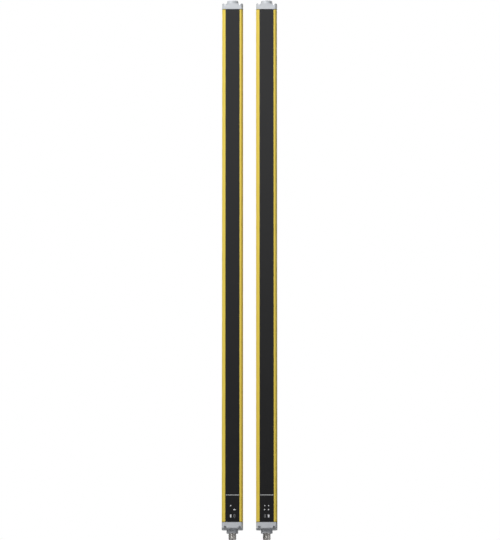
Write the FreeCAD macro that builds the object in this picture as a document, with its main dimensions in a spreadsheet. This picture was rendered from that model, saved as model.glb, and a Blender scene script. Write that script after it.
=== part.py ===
"""Safety light curtain: an emitter bar and a receiver bar standing side by side.

Each bar is a sealed unit: a yellow extruded housing with a smoked front window, a die-cast cap
on each end and a round five-pole plug in the lower cap. Inside it, a carrier holds five optical
modules, their diode boards and the control board with its light guides. The cap screws are left
out, and their channels, pockets and holes are plain, as is the plug's thread.

Millimetres, with X across the two bars, Y from the front (-) to the back (+) and Z up. The
origin is the centre of the pair. Heights within a bar are counted from the tip of its plug.
"""
import FreeCAD, Part
import math
import os
from types import SimpleNamespace

import Sketcher

SIZES = [
    ("bar_pitch", 52.5, "distance between the two bars, centre to centre"),
    ("body_length", 816.0, "one bar, from the outer face of one cap to that of the other"),
    ("profile_width", 32.5, "housing, side to side"),
    ("profile_depth", 36.0, "housing, front to back"),
    ("shoulder_inset", 3.05, "how far the flat front ends inside the side"),
    ("shoulder_drop", 5.5, "how far back the rounded shoulder reaches"),
    ("rear_radius", 3.5, "housing, rear corners"),
    ("wall", 1.6, "housing wall"),
    ("window_opening", 21.7, "width between the two front flanges"),
    ("window_recess", 2.4, "from the front of the housing to the window ledge"),
    ("window_thickness", 1.6, "front window plate"),
    ("window_play", 0.1, "gap at each long edge of the window"),
    ("tape_thickness", 0.4, "sealing tape under the window"),
    ("tape_width", 2.0, "sealing tape under the window"),
    ("ledge_width", 2.25, "window ledge, from the opening inwards"),
    ("port_radius", 1.55, "screw channels in the housing"),
    ("port_slot", 1.4, "open side of a screw channel"),
    ("port_break", 0.2, "how far that open side runs on into the chamber"),
    ("port_across", 11.3, "screw channels, from the centre line"),
    ("port_inset", 4.6, "screw channels, from the front and from the back"),
    ("port_block", 7.0, "depth of the thick corners that hold the screw channels"),
    ("rear_block_width", 8.9, "inner side of the rear thick corners, from the centre line"),
    ("slot_mouth", 6.2, "rear fixing slot, between its lips"),
    ("slot_width", 11.2, "rear fixing slot, behind its lips"),
    ("slot_lip", 1.8, "rear fixing slot, lip thickness"),
    ("slot_depth", 6.4, "rear fixing slot, from the back to its floor"),
    ("slot_wall", 1.5, "housing wall round the rear fixing slot"),
    ("groove_centre", 7.5, "side grooves for clamps, behind mid depth"),
    ("groove_mouth", 3.8, "side grooves, at the surface"),
    ("groove_floor", 2.2, "side grooves, at the bottom"),
    ("groove_deep", 1.65, "side grooves"),
    ("cap_height", 8.9, "end cap without its boss"),
    ("cap_edge", 0.5, "chamfer round the cap's outer face"),
    ("boss_radius", 8.9, "round boss of a cap"),
    ("boss_height", 6.5, "round boss of a cap"),
    ("spigot_reach", 3.0, "how far a cap reaches into the housing"),
    ("spigot_half", 12.6, "cap spigot, from the centre line"),
    ("spigot_play", 0.4, "between a cap's spigot and the housing, front and back"),
    ("gasket_thickness", 0.8, "gasket between cap and housing"),
    ("gasket_inset", 0.4, "from the housing's outline to the gasket's"),
    ("gasket_play", 0.2, "between the gasket and the cap's spigot"),
    ("pocket_half", 3.0, "eight-sided screw pocket in a cap, half its width"),
    ("pocket_cut", 1.2, "cut corners of a screw pocket"),
    ("pocket_deep", 3.0, "screw pocket in a cap"),
    ("pocket_mouth", 3.4, "front opening of a screw pocket"),
    ("clear_radius", 1.7, "screw holes in a cap"),
    ("core_floor", 3.5, "from a cap's outer face to the floor of the space inside it"),
    ("core_side", 9.6, "space inside a cap, from the centre line"),
    ("core_reach", 8.2, "space inside a cap, in front of and behind the axis"),
    ("plug_radius", 6.0, "plug, thread outside"),
    ("plug_length", 10.0, "plug, from the boss to its tip"),
    ("plug_bore", 4.4, "plug sleeve, inner radius"),
    ("neck_radius", 5.5, "plug sleeve inside the cap, from its shoulder on the boss"),
    ("plug_cavity_deep", 8.2, "plug, from its tip to the contact carrier"),
    ("sleeve_stand", 1.5, "plug sleeve, out of the cap's inner floor"),
    ("insert_stand", 0.5, "contact carrier, out of the sleeve's inner end"),
    ("contact_circle", 2.75, "outer contacts, from the plug's axis"),
    ("contact_radius", 0.5, "contact pin"),
    ("contact_shank", 0.7, "square shank of a contact"),
    ("contact_stand", 6.6, "contact pin, out of the carrier"),
    ("solder_stand", 1.5, "contact, out of the carrier towards the lead"),
    ("carrier_half", 12.4, "optics carrier, from the centre line"),
    ("carrier_wall", 1.4, "optics carrier"),
    ("carrier_length", 787.6, "optics carrier"),
    ("carrier_start", 31.0, "lower end of the optics carrier, from the plug's tip"),
    ("carrier_front", 10.8, "front edge of the optics carrier, from mid depth"),
    ("field_start", 68.0, "lower end of the first optical module, from the plug's tip"),
    ("module_pitch", 150.0, "optical modules"),
    ("module_gap", 0.6, "between two optical modules"),
    ("beam_pitch", 30.0, "beams"),
    ("module_half", 10.8, "optical modules, from the centre line"),
    ("lens_plate", 1.8, "lens strip, plate thickness"),
    ("lens_size", 15.0, "one square lens field"),
    ("lens_rise", 0.8, "lens field, in front of its plate"),
    ("lens_play", 0.1, "lens strips, behind the front edge of the carrier"),
    ("shaft_front", 14.0, "light shaft, at the lens"),
    ("shaft_rear", 5.0, "light shaft, at the diode"),
    ("core_height", 12.0, "moulded recess between two light shafts, along the bar"),
    ("core_width", 18.0, "moulded recess, side to side"),
    ("core_skin", 1.6, "front plate left over a moulded recess"),
    ("board_thickness", 1.6, "circuit boards"),
    ("board_half", 10.6, "circuit boards, from the centre line"),
    ("diode_size", 3.2, "diode, square"),
    ("diode_height", 1.8, "diode"),
    ("control_start", 32.0, "lower end of the control board, from the plug's tip"),
    ("control_length", 34.0, "control board"),
    ("chip_size", 9.0, "square chip on the control board"),
    ("chip_height", 1.4, "square chip on the control board"),
    ("chip_level", 60.0, "middle of the chip, from the plug's tip"),
    ("socket_length", 3.0, "clamping socket for the flat lead, along the bar"),
    ("socket_height", 2.2, "clamping socket for the flat lead"),
    ("pad_side", 2.2, "rubber pad between a cap and the carrier, side to side"),
    ("pad_reach", 8.0, "rubber pad, in front of and behind the axis"),
    ("guide_front", 15.2, "front end of the light guides, from mid depth"),
    ("guide_size", 2.0, "one square light guide"),
    ("guide_plate", 1.5, "plate that joins the light guides"),
    ("guide_across", 2.8, "light guides, from the centre line"),
    ("guide_low", 44.7, "lower row of indicators, from the plug's tip"),
    ("guide_rise", 6.1, "from the lower row of indicators to the upper row"),
    ("ribbon_thickness", 0.4, "flat lead from the plug to the control board"),
    ("ribbon_width", 6.4, "flat lead"),
    ("ribbon_bend", 1.6, "flat lead, from the contacts up to where it meets the board's plane"),
    ("ribbon_end", 0.8, "flat lead, out past the circle of contacts"),
]
MODULES = 5
BEAMS_PER_MODULE = 5
CONTACTS = 5
PIN_SIDES = 8
OVERCUT = 1.0  # how far a cut runs on past an outer surface
TOUCHING = 1e-6  # heights closer than this are the same
BAR_SIDES = (("emitter", -1), ("receiver", 1))
INDICATORS = {"emitter": ((-1, 1), (1, 0)), "receiver": ((-1, 0), (1, 0), (-1, 1), (1, 1))}


class Size:
    """A length that carries both its number and the spreadsheet expression that gives it."""

    def __init__(self, value, text):
        self.value = value
        self.text = text

    @staticmethod
    def of(other):
        return other if isinstance(other, Size) else Size(float(other), f"({float(other)!r})")

    def __add__(self, other):
        other = Size.of(other)
        return Size(self.value + other.value, f"({self.text} + {other.text})")

    def __sub__(self, other):
        other = Size.of(other)
        return Size(self.value - other.value, f"({self.text} - {other.text})")

    def __mul__(self, other):
        other = Size.of(other)
        return Size(self.value * other.value, f"({self.text} * {other.text})")

    def __truediv__(self, other):
        other = Size.of(other)
        return Size(self.value / other.value, f"({self.text} / {other.text})")

    def __rsub__(self, other):
        return Size.of(other) - self

    def __neg__(self):
        return Size(-self.value, f"(0 - {self.text})")

    __radd__ = __add__
    __rmul__ = __mul__


doc = FreeCAD.newDocument("light_curtain")
sheet = doc.addObject("Spreadsheet::Sheet", "sizes")
for row, (alias, number, meaning) in enumerate(SIZES, start=1):
    sheet.set(f"A{row}", meaning)
    sheet.set(f"B{row}", str(number))
    sheet.setAlias(f"B{row}", alias)
doc.recompute()
s = SimpleNamespace(**{alias: Size(number, f"sizes.{alias}") for alias, number, _ in SIZES})

# Levels and planes that several sub-parts share, in one bar's own frame.
half_width = s.profile_width / 2
half_depth = s.profile_depth / 2
boss_level = s.plug_length
cap_level = boss_level + s.boss_height
cap_top = cap_level + s.cap_height
profile_start = cap_top + s.gasket_thickness
profile_length = s.body_length - 2 * s.cap_height - 2 * s.gasket_thickness
upper_cap_level = cap_level + s.body_length
middle_level = (upper_cap_level + s.boss_height) / 2
sleeve_top = cap_level + s.core_floor + s.sleeve_stand
insert_top = sleeve_top + s.insert_stand
spigot_level = profile_start + s.spigot_reach
carrier_end = s.carrier_start + s.carrier_length
upper_spigot_level = upper_cap_level - (spigot_level - cap_level)
half_opening = s.window_opening / 2
ledge_plane = s.window_recess - half_depth
light_half = half_opening - s.ledge_width
slot_floor = half_depth - s.slot_depth
seat_plane = slot_floor - s.slot_wall
shoulder_radius = (s.shoulder_inset * s.shoulder_inset + s.shoulder_drop * s.shoulder_drop) / (
    2 * s.shoulder_inset
)
board_rear = seat_plane - s.carrier_wall
board_front = board_rear - s.board_thickness
lens_front = s.lens_play - s.carrier_front
lens_rear = lens_front + s.lens_plate


def bind(thing, name, size):
    """Ties a property or a constraint of an object to the spreadsheet."""
    if isinstance(size, Size):
        thing.setExpression(name, size.text)


def placed(thing, x=0.0, y=0.0, z=0.0, rotation=None):
    """Puts an object in its place. z is a height within a bar, from the tip of its plug."""
    base = [Size.of(x), Size.of(y), z - middle_level]
    thing.Placement = FreeCAD.Placement(
        FreeCAD.Vector(*(size.value for size in base)), rotation or FreeCAD.Rotation()
    )
    for name, size in zip("xyz", base):
        bind(thing, f"Placement.Base.{name}", size)
    return thing


def new_body(label):
    return doc.addObject("PartDesign::Body", label)


def plane_of(body, role):
    return next(f for f in body.Origin.OriginFeatures if f.Role == role)


def sketch_on(body, role="XY_Plane", offset=0.0):
    """An empty sketch on one of the body's own planes, moved along that plane's normal."""
    sketch = body.newObject("Sketcher::SketchObject", body.Name + "_sketch")
    sketch.AttachmentSupport = [(plane_of(body, role), "")]
    sketch.MapMode = "FlatFace"
    sketch.AttachmentOffset = FreeCAD.Placement(
        FreeCAD.Vector(0, 0, Size.of(offset).value), FreeCAD.Rotation()
    )
    bind(sketch, "AttachmentOffset.Base.z", offset)
    return sketch


def constrain(sketch, kind, *where, size=None):
    """Adds a constraint and, where it has a size, ties it to the spreadsheet."""
    if size is None:
        sketch.addConstraint(Sketcher.Constraint(kind, *where))
        return
    index = sketch.addConstraint(Sketcher.Constraint(kind, *where, Size.of(size).value))
    bind(sketch, f"Constraints[{index}]", size)


def arc_between(start, end, radius, large):
    """The arc from start to end: counter-clockwise for a positive radius, else clockwise."""
    chord = end - start
    half = chord.Length / 2
    rise = math.sqrt(max(radius * radius - half * half, 0.0))
    left = FreeCAD.Vector(-chord.y, chord.x, 0).normalize()
    side = 1 if (radius > 0) != large else -1
    centre = (start + end) / 2 + left * (rise * side)
    first, last = (start, end) if radius > 0 else (end, start)
    angles = [math.atan2(p.y - centre.y, p.x - centre.x) for p in (first, last)]
    circle = Part.Circle(centre, FreeCAD.Vector(0, 0, 1), abs(radius))
    return Part.ArcOfCircle(circle, *angles)


def outline(sketch, corners):
    """Draws a closed outline. A corner is (x, y), or (x, y, radius) where an arc leaves it.

    A fourth value, True, picks the arc of more than half a turn. Every corner and radius is
    tied to the spreadsheet.
    """
    points = [FreeCAD.Vector(Size.of(c[0]).value, Size.of(c[1]).value, 0) for c in corners]
    ends = []
    for i, corner in enumerate(corners):
        start, end = points[i], points[(i + 1) % len(points)]
        if len(corner) == 2:
            index = sketch.addGeometry(Part.LineSegment(start, end), False)
            ends.append((index, 1, 2))
            continue
        radius = Size.of(corner[2])
        arc = arc_between(start, end, radius.value, len(corner) == 4)
        index = sketch.addGeometry(arc, False)
        ends.append((index, 1, 2) if radius.value > 0 else (index, 2, 1))
    for i, corner in enumerate(corners):
        index, first, last = ends[i]
        following = ends[(i + 1) % len(ends)]
        constrain(sketch, "Coincident", index, last, following[0], following[1])
        constrain(sketch, "DistanceX", -1, 1, index, first, size=corner[0])
        constrain(sketch, "DistanceY", -1, 1, index, first, size=corner[1])
        if len(corner) > 2:
            radius = corner[2] if Size.of(corner[2]).value > 0 else -corner[2]
            constrain(sketch, "Radius", index, size=radius)


def rectangle(sketch, left, right, low, high):
    outline(sketch, [(left, low), (right, low), (right, high), (left, high)])


def circle(sketch, x, y, radius):
    centre = FreeCAD.Vector(Size.of(x).value, Size.of(y).value, 0)
    shape = Part.Circle(centre, FreeCAD.Vector(0, 0, 1), Size.of(radius).value)
    index = sketch.addGeometry(shape, False)
    constrain(sketch, "DistanceX", -1, 1, index, 3, size=x)
    constrain(sketch, "DistanceY", -1, 1, index, 3, size=y)
    constrain(sketch, "Radius", index, size=radius)


def pad(body, sketch, length, backwards=False):
    """Adds a prism along the sketch's normal, or against it."""
    feature = body.newObject("PartDesign::Pad", body.Name + "_pad")
    feature.Profile = sketch
    feature.Length = Size.of(length).value
    feature.Reversed = backwards
    bind(feature, "Length", length)
    return feature


def pocket(body, sketch, depth=None, backwards=False):
    """Cuts against the sketch's normal, or along it; right through where no depth is given."""
    feature = body.newObject("PartDesign::Pocket", body.Name + "_pocket")
    feature.Profile = sketch
    feature.Reversed = backwards
    if depth is None:
        feature.Type = "ThroughAll"
        return feature
    feature.Length = Size.of(depth).value
    bind(feature, "Length", depth)
    return feature


def turned(body, corners):
    """A body of revolution about Z, from corners given as (radius, height)."""
    sketch = sketch_on(body, "XZ_Plane")
    outline(sketch, corners)
    feature = body.newObject("PartDesign::Revolution", body.Name + "_turn")
    feature.Profile = sketch
    feature.ReferenceAxis = (sketch, ["V_Axis"])
    feature.Angle = 360.0
    return feature


def part_box(label, low, size):
    """A Part::Box from its low corner and its three sides, tied to the spreadsheet."""
    block = doc.addObject("Part::Box", label)
    for name, length in zip(("Length", "Width", "Height"), size):
        setattr(block, name, Size.of(length).value)
        bind(block, name, length)
    return placed(block, *low)


def mirrored_outline(right_half):
    """Both halves of an outline from its right half, which starts and ends on the left-right axis."""
    left_half = []
    for i in range(len(right_half) - 1, -1, -1):
        x, y = right_half[i][:2]
        before = right_half[i - 1] if i else ()
        left_half.append((-x, y) + tuple(before[2:]))
    return right_half + left_half


def housing_outline():
    """The housing's outside, which its caps follow too, counter-clockwise from the front."""
    flat = half_width - s.shoulder_inset
    return mirrored_outline(
        [
            (flat, -half_depth, shoulder_radius),
            (half_width, s.shoulder_drop - half_depth),
            (half_width, half_depth - s.rear_radius, s.rear_radius),
            (half_width - s.rear_radius, half_depth),
        ]
    )


def chamber_outline():
    """The space inside the housing: wide round the optics, narrower between the side grooves."""
    inner = half_width - s.wall
    waist = inner - s.groove_deep
    waist_start = s.groove_centre - s.groove_mouth / 2 - s.wall / 2
    front = s.port_block - half_depth
    rear = half_depth - s.port_block
    deep = half_depth - s.wall
    box_side = s.slot_width / 2 + s.slot_wall
    return mirrored_outline(
        [
            (light_half, ledge_plane),
            (light_half, front),
            (inner, front),
            (inner, waist_start - s.groove_deep),
            (waist, waist_start),
            (waist, rear),
            (s.rear_block_width, rear),
            (s.rear_block_width, deep),
            (box_side, deep),
            (box_side, seat_plane),
        ]
    )


def port_outline(side, facing):
    """One open screw channel. facing is 1 for the front pair, which open towards the back."""
    x = side * s.port_across
    y = facing * (s.port_inset - half_depth)
    half_slot = s.port_slot / 2
    reach = Size(
        math.sqrt(s.port_radius.value**2 - half_slot.value**2),
        f"sqrt({s.port_radius.text} ^ 2 - {half_slot.text} ^ 2)",
    )
    mouth = y + facing * (s.port_block - s.port_inset + s.port_break)
    neck = y + facing * reach
    return [
        (x - facing * half_slot, neck, s.port_radius, True),
        (x + facing * half_slot, neck),
        (x + facing * half_slot, mouth),
        (x - facing * half_slot, mouth),
    ]


def housing_profile(label):
    """The extrusion: outside, chamber, window opening, rear slot, side grooves, screw channels."""
    body = new_body(label)
    outside = sketch_on(body, offset=profile_start)
    outline(outside, housing_outline())
    pad(body, outside, profile_length)
    hollow = sketch_on(body, offset=profile_start)
    outline(hollow, chamber_outline())
    pocket(body, hollow, backwards=True)
    opening = sketch_on(body, offset=profile_start)
    rectangle(opening, -half_opening, half_opening, -half_depth - OVERCUT, ledge_plane)
    pocket(body, opening, backwards=True)
    slot = sketch_on(body, offset=profile_start)
    lip_plane = half_depth - s.slot_lip
    mouth, width = s.slot_mouth / 2, s.slot_width / 2
    right_half = [(width, slot_floor), (width, lip_plane), (mouth, lip_plane)]
    outline(slot, mirrored_outline(right_half + [(mouth, half_depth + OVERCUT)]))
    pocket(body, slot, backwards=True)
    grooves = sketch_on(body, offset=profile_start)
    low, high = s.groove_centre - s.groove_mouth / 2, s.groove_centre + s.groove_mouth / 2
    inner_low, inner_high = s.groove_centre - s.groove_floor / 2, s.groove_centre + s.groove_floor / 2
    for side in (-1, 1):
        edge, floor = side * half_width, side * (half_width - s.groove_deep)
        outline(grooves, [(edge, low), (edge, high), (floor, inner_high), (floor, inner_low)])
    pocket(body, grooves, backwards=True)
    ports = sketch_on(body, offset=profile_start)
    for side in (-1, 1):
        for facing in (-1, 1):
            outline(ports, port_outline(side, facing))
    pocket(body, ports, backwards=True)
    return body


def front_window(label, x):
    half = half_opening - s.window_play
    return part_box(
        label,
        (x - half, ledge_plane - s.tape_thickness - s.window_thickness, profile_start),
        (2 * half, s.window_thickness, profile_length),
    )


def window_seal(label, x, side):
    """The strip of sealing tape between the window and one ledge."""
    outer = half_opening - s.window_play
    low = outer - s.tape_width if side > 0 else -outer
    return part_box(
        label,
        (x + low, ledge_plane - s.tape_thickness, profile_start),
        (s.tape_width, s.tape_thickness, profile_length),
    )


def end_cap(label, with_plug):
    """The die-cast cap, made as the lower one: face at Z 0, boss below it, spigot above it."""
    body = new_body(label)
    plate = sketch_on(body)
    outline(plate, housing_outline())
    pad(body, plate, s.cap_height)
    doc.recompute()
    chamfer_rim(body)
    spigot = sketch_on(body, offset=s.cap_height)
    front, rear = s.port_block - half_depth + s.spigot_play, seat_plane - s.spigot_play
    rectangle(spigot, -s.spigot_half, s.spigot_half, front, rear)
    pad(body, spigot, s.gasket_thickness + s.spigot_reach)
    boss = sketch_on(body)
    circle(boss, 0, 0, s.boss_radius)
    pad(body, boss, s.boss_height, backwards=True)
    core = sketch_on(body, offset=s.core_floor)
    rectangle(core, -s.core_side, s.core_side, -s.core_reach, s.core_reach)
    pocket(body, core, backwards=True)
    if with_plug:
        bore = sketch_on(body, offset=s.core_floor)
        circle(bore, 0, 0, s.neck_radius)
        pocket(body, bore)
    notch = sketch_on(body)
    half_notch = s.slot_width / 2
    rectangle(notch, -half_notch, half_notch, slot_floor, half_depth + OVERCUT)
    pocket(body, notch, backwards=True)
    pockets = sketch_on(body)
    holes = sketch_on(body)
    for side in (-1, 1):
        for facing in (-1, 1):
            x, y = side * s.port_across, facing * (half_depth - s.port_inset)
            outline(pockets, screw_pocket(x, y, open_front=facing < 0))
            circle(holes, x, y, s.clear_radius)
    pocket(body, pockets, s.pocket_deep, backwards=True)
    pocket(body, holes, backwards=True)
    return body


def screw_pocket(x, y, open_front):
    """The outline of one screw pocket. The front ones open through the cap's front face."""
    half = s.pocket_half
    flat = half - s.pocket_cut
    rear = [(x + half, y - flat), (x + half, y + flat), (x + flat, y + half)]
    rear += [(x - flat, y + half), (x - half, y + flat), (x - half, y - flat)]
    if not open_front:
        return [(x - flat, y - half), (x + flat, y - half)] + rear
    mouth = s.pocket_mouth / 2
    front = -half_depth - OVERCUT
    opening = [(x - mouth, y - half), (x - mouth, front), (x + mouth, front), (x + mouth, y - half)]
    return opening + rear


def chamfer_rim(body):
    """Chamfers the cap's outer face all round."""
    rough = body.Tip
    edges = enumerate(body.Shape.Edges, start=1)
    names = [f"Edge{i}" for i, edge in edges if edge.BoundBox.ZMax < TOUCHING]
    feature = body.newObject("PartDesign::Chamfer", body.Name + "_chamfer")
    feature.Base = (rough, names)
    feature.Size = s.cap_edge.value
    bind(feature, "Size", s.cap_edge)


def gasket(label):
    """The flat gasket, notched at the four corners so that it clears the screws."""
    body = new_body(label)
    sheet_outline = sketch_on(body)
    inset = s.gasket_inset
    front = inset - half_depth
    side = half_width - inset
    neck = s.port_across - s.clear_radius - inset
    front_step = s.port_block - half_depth - inset
    rear_step = half_depth - s.port_block + inset
    slot_side = s.slot_width / 2 + inset
    rear = half_depth - inset
    outline(
        sheet_outline,
        mirrored_outline(
            [
                (neck, front),
                (neck, front_step),
                (side, front_step),
                (side, rear_step),
                (neck, rear_step),
                (neck, rear),
                (slot_side, rear),
                (slot_side, slot_floor - inset),
            ]
        ),
    )
    pad(body, sheet_outline, s.gasket_thickness)
    inner = sketch_on(body)
    half = s.spigot_half + s.gasket_play
    gap = s.spigot_play - s.gasket_play
    rectangle(inner, -half, half, s.port_block - half_depth + gap, seat_plane - gap)
    pocket(body, inner, backwards=True)
    return body


def compound(label, members):
    """Several separate solids as one sub-part."""
    group = doc.addObject("Part::Compound", label)
    group.Links = members
    return group


def plug_sleeve(label):
    """The threaded sleeve: it sits on the boss by its shoulder, and its neck is bonded in the cap."""
    body = new_body(label)
    thread = [(s.plug_bore, 0), (s.plug_radius, 0), (s.plug_radius, boss_level)]
    neck = [(s.neck_radius, boss_level), (s.neck_radius, sleeve_top), (s.plug_bore, sleeve_top)]
    turned(body, thread + neck)
    return body


def contact_places():
    """Where the contacts stand, as (across, depth) in units of the contact circle's radius."""
    outer = CONTACTS - 1
    turns = [2 * math.pi * (i + 0.5) / outer for i in range(outer)]
    return [(math.cos(t), math.sin(t)) for t in turns] + [(0.0, 0.0)]


def plug_insert(label):
    """The moulded contact carrier, with a square channel for each contact's shank."""
    body = new_body(label)
    disc = sketch_on(body, offset=s.plug_cavity_deep)
    circle(disc, 0, 0, s.plug_bore)
    pad(body, disc, insert_top - s.plug_cavity_deep)
    channels = sketch_on(body, offset=s.plug_cavity_deep)
    half = s.contact_shank / 2
    for across, depth in contact_places():
        x, y = across * s.contact_circle, depth * s.contact_circle
        rectangle(channels, x - half, x + half, y - half, y + half)
    pocket(body, channels, backwards=True)
    return body


def plug_contacts(label, x):
    """The contacts: an eight-sided pin in the cavity, on a square shank in the carrier."""
    pins = []
    half = s.contact_shank / 2
    for across, depth in contact_places():
        cx, cy = x + across * s.contact_circle, Size.of(depth * s.contact_circle)
        pin = doc.addObject("Part::Prism", "contact_pin")
        pin.Polygon = PIN_SIDES
        pin.Circumradius, pin.Height = s.contact_radius.value, s.contact_stand.value
        bind(pin, "Circumradius", s.contact_radius)
        bind(pin, "Height", s.contact_stand)
        placed(pin, cx, cy, s.plug_cavity_deep - s.contact_stand)
        low = (cx - half, cy - half, s.plug_cavity_deep)
        length = insert_top - s.plug_cavity_deep + s.solder_stand
        shank = part_box("contact_shank", low, (s.contact_shank, s.contact_shank, length))
        contact = doc.addObject("Part::Fuse", "contact")
        contact.Base, contact.Tool = pin, shank
        pins.append(contact)
    return compound(label, pins)


def optics_carrier(label):
    """The long U-shaped tray that slides into the housing with the boards and modules in it."""
    body = new_body(label)
    section = sketch_on(body, offset=s.carrier_start)
    inner = s.carrier_half - s.carrier_wall
    outline(
        section,
        mirrored_outline(
            [
                (s.carrier_half, seat_plane),
                (s.carrier_half, -s.carrier_front),
                (inner, -s.carrier_front),
                (inner, board_rear),
            ]
        ),
    )
    pad(body, section, s.carrier_length)
    return body


def module_start(index):
    return s.field_start + index * s.module_pitch + s.module_gap / 2


def optic_block(label, index):
    """A moulded block with a tapered light shaft for each beam, cored out between the shafts."""
    body = new_body(label)
    start = module_start(index)
    block = sketch_on(body, "XZ_Plane", offset=-board_front)
    rectangle(block, -s.module_half, s.module_half, start, start + s.module_pitch - s.module_gap)
    depth = board_front - lens_rear
    pad(body, block, depth)
    wide, narrow = s.shaft_front / 2, s.shaft_rear / 2
    first = s.field_start + index * s.module_pitch + s.beam_pitch / 2
    shaft = body.newObject("PartDesign::SubtractiveWedge", body.Name + "_shaft")
    sides = {"Xmin": -wide, "Xmax": wide, "Zmin": first - wide, "Zmax": first + wide}
    sides |= {"X2min": -narrow, "X2max": narrow, "Z2min": first - narrow, "Z2max": first + narrow}
    sides |= {"Ymin": lens_rear, "Ymax": board_front}
    for name, size in sides.items():
        setattr(shaft, name, size.value)
        bind(shaft, name, size)
    repeat_up(body, shaft, block, BEAMS_PER_MODULE)
    core = sketch_on(body, "XZ_Plane", offset=-board_front)
    between = first + s.beam_pitch / 2
    side, rise = s.core_width / 2, s.core_height / 2
    rectangle(core, -side, side, between - rise, between + rise)
    recess = pocket(body, core, depth - s.core_skin, backwards=True)
    repeat_up(body, recess, core, BEAMS_PER_MODULE - 1)
    return body


def repeat_up(body, feature, sketch, count):
    """Repeats a feature up the bar, once for each beam."""
    span = s.beam_pitch * (count - 1)
    row = body.newObject("PartDesign::LinearPattern", body.Name + "_row")
    row.Originals = [feature]
    row.Direction = (sketch, ["V_Axis"])
    row.Length = span.value
    bind(row, "Length", span)
    row.Occurrences = count
    body.Tip = row


def lens_strip(label, index):
    """A clear plate with a raised square field for each beam, ruled as a flat stepped lens."""
    body = new_body(label)
    start = module_start(index)
    plate = sketch_on(body, "XZ_Plane", offset=-lens_rear)
    rectangle(plate, -s.module_half, s.module_half, start, start + s.module_pitch - s.module_gap)
    pad(body, plate, s.lens_plate)
    field = sketch_on(body, "XZ_Plane", offset=-lens_front)
    half = s.lens_size / 2
    first = s.field_start + index * s.module_pitch + s.beam_pitch / 2
    rectangle(field, -half, half, first - half, first + half)
    lens = pad(body, field, s.lens_rise)
    repeat_up(body, lens, field, BEAMS_PER_MODULE)
    return body


def diode_boards(label, x):
    boards = []
    for index in range(MODULES):
        boards.append(
            part_box(
                "diode_board",
                (x - s.board_half, board_front, module_start(index)),
                (2 * s.board_half, s.board_thickness, s.module_pitch - s.module_gap),
            )
        )
    return compound(label, boards)


def diodes(label, x):
    """One diode at the narrow end of every light shaft."""
    half = s.diode_size / 2
    members = []
    for index in range(MODULES):
        for beam in range(BEAMS_PER_MODULE):
            height = s.field_start + index * s.module_pitch + (beam + 0.5) * s.beam_pitch
            members.append(
                part_box(
                    "diode",
                    (x - half, board_front - s.diode_height, height - half),
                    (s.diode_size, s.diode_height, s.diode_size),
                )
            )
    return compound(label, members)


def control_board(label, x):
    return part_box(
        label,
        (x - s.board_half, board_front, s.control_start),
        (2 * s.board_half, s.board_thickness, s.control_length),
    )


def control_chips(label, x):
    """What stands on the control board: the chip and the socket that clamps the flat lead."""
    half = s.chip_size / 2
    chip = part_box(
        "chip",
        (x - half, board_front - s.chip_height, s.chip_level - half),
        (s.chip_size, s.chip_height, s.chip_size),
    )
    face = board_front - s.ribbon_thickness
    socket = part_box(
        "lead_socket",
        (x - s.ribbon_width / 2, face - s.socket_height, s.control_start),
        (s.ribbon_width, s.socket_height, s.socket_length),
    )
    return compound(label, [chip, socket])


def carrier_pads(label, x):
    """The four rubber pads that hold the carrier between the two caps."""
    pads = []
    ends = ((spigot_level, s.carrier_start), (carrier_end, upper_spigot_level))
    for low, high in ends:
        for left in (x - s.carrier_half, x + s.carrier_half - s.pad_side):
            corner = (left, -s.pad_reach, low)
            pads.append(part_box("pad", corner, (s.pad_side, 2 * s.pad_reach, high - low)))
    return compound(label, pads)


def light_guide(label, places):
    """A plate on the control board with one square rod to the window for each indicator."""
    body = new_body(label)
    plate = sketch_on(body, "XZ_Plane", offset=-board_front)
    half_plate = s.guide_across + s.guide_size
    low, high = s.guide_low - s.guide_size, s.guide_low + s.guide_rise + s.guide_size
    rectangle(plate, -half_plate, half_plate, low, high)
    pad(body, plate, s.guide_plate)
    rods = sketch_on(body, "XZ_Plane", offset=-board_front)
    half = s.guide_size / 2
    for side, row in places:
        x, z = side * s.guide_across, s.guide_low + row * s.guide_rise
        rectangle(rods, x - half, x + half, z - half, z + half)
    pad(body, rods, board_front + s.guide_front)
    return body


def lead_ribbon(label):
    """The flat lead: up from the plug's contacts, back, and up onto the control board."""
    body = new_body(label)
    route = sketch_on(body, "YZ_Plane", offset=-(s.ribbon_width / 2))
    low = insert_top + s.solder_stand
    thick = s.ribbon_thickness
    bend = low + s.ribbon_bend
    front = s.contact_circle + s.ribbon_end
    face = board_front
    outline(
        route,
        [
            (-front, low),
            (front, low),
            (face, bend),
            (face, s.control_start + s.socket_length),
            (face - thick, s.control_start + s.socket_length),
            (face - thick, bend + thick),
            (front - thick, low + thick),
            (-front, low + thick),
        ],
    )
    pad(body, route, s.ribbon_width)
    return body


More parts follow.
